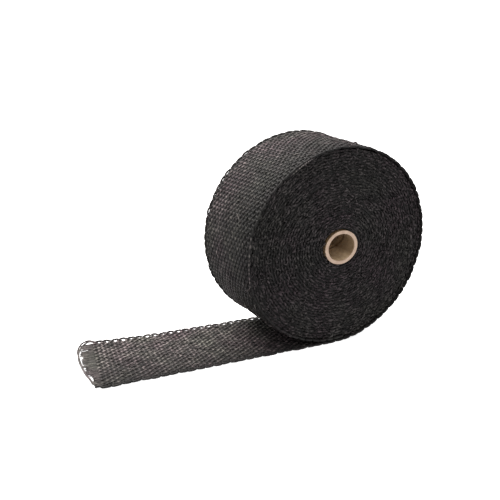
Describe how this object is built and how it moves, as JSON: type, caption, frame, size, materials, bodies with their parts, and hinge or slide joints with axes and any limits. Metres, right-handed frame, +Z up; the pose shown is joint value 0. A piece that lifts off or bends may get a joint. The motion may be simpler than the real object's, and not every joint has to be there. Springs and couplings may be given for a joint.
{
  "type": "roll of exhaust heat wrap tape",
  "caption": "Roll of black woven glass-fibre heat wrap tape on a cardboard core, with its cut end lying loose on the floor.",
  "frame": {"origin": "on the floor, directly under the roll's axis and halfway across the tape", "axes": "+Z up, +Y along the roll's axis away from its visible end, the loose tail lies towards -X"},
  "size_m": [0.2095, 0.051, 0.1204],
  "materials": {
    "woven_tape": "charcoal-black woven glass-fibre yarn, dry, with a slight sheen along the yarns",
    "core_board": "plain tan paper tube, pale fibrous cut ends, matt"
  },
  "bodies": {
    "root": {"wrap_tape": "woven_tape", "core_tube": "core_board"}
  },
  "joints": []
}
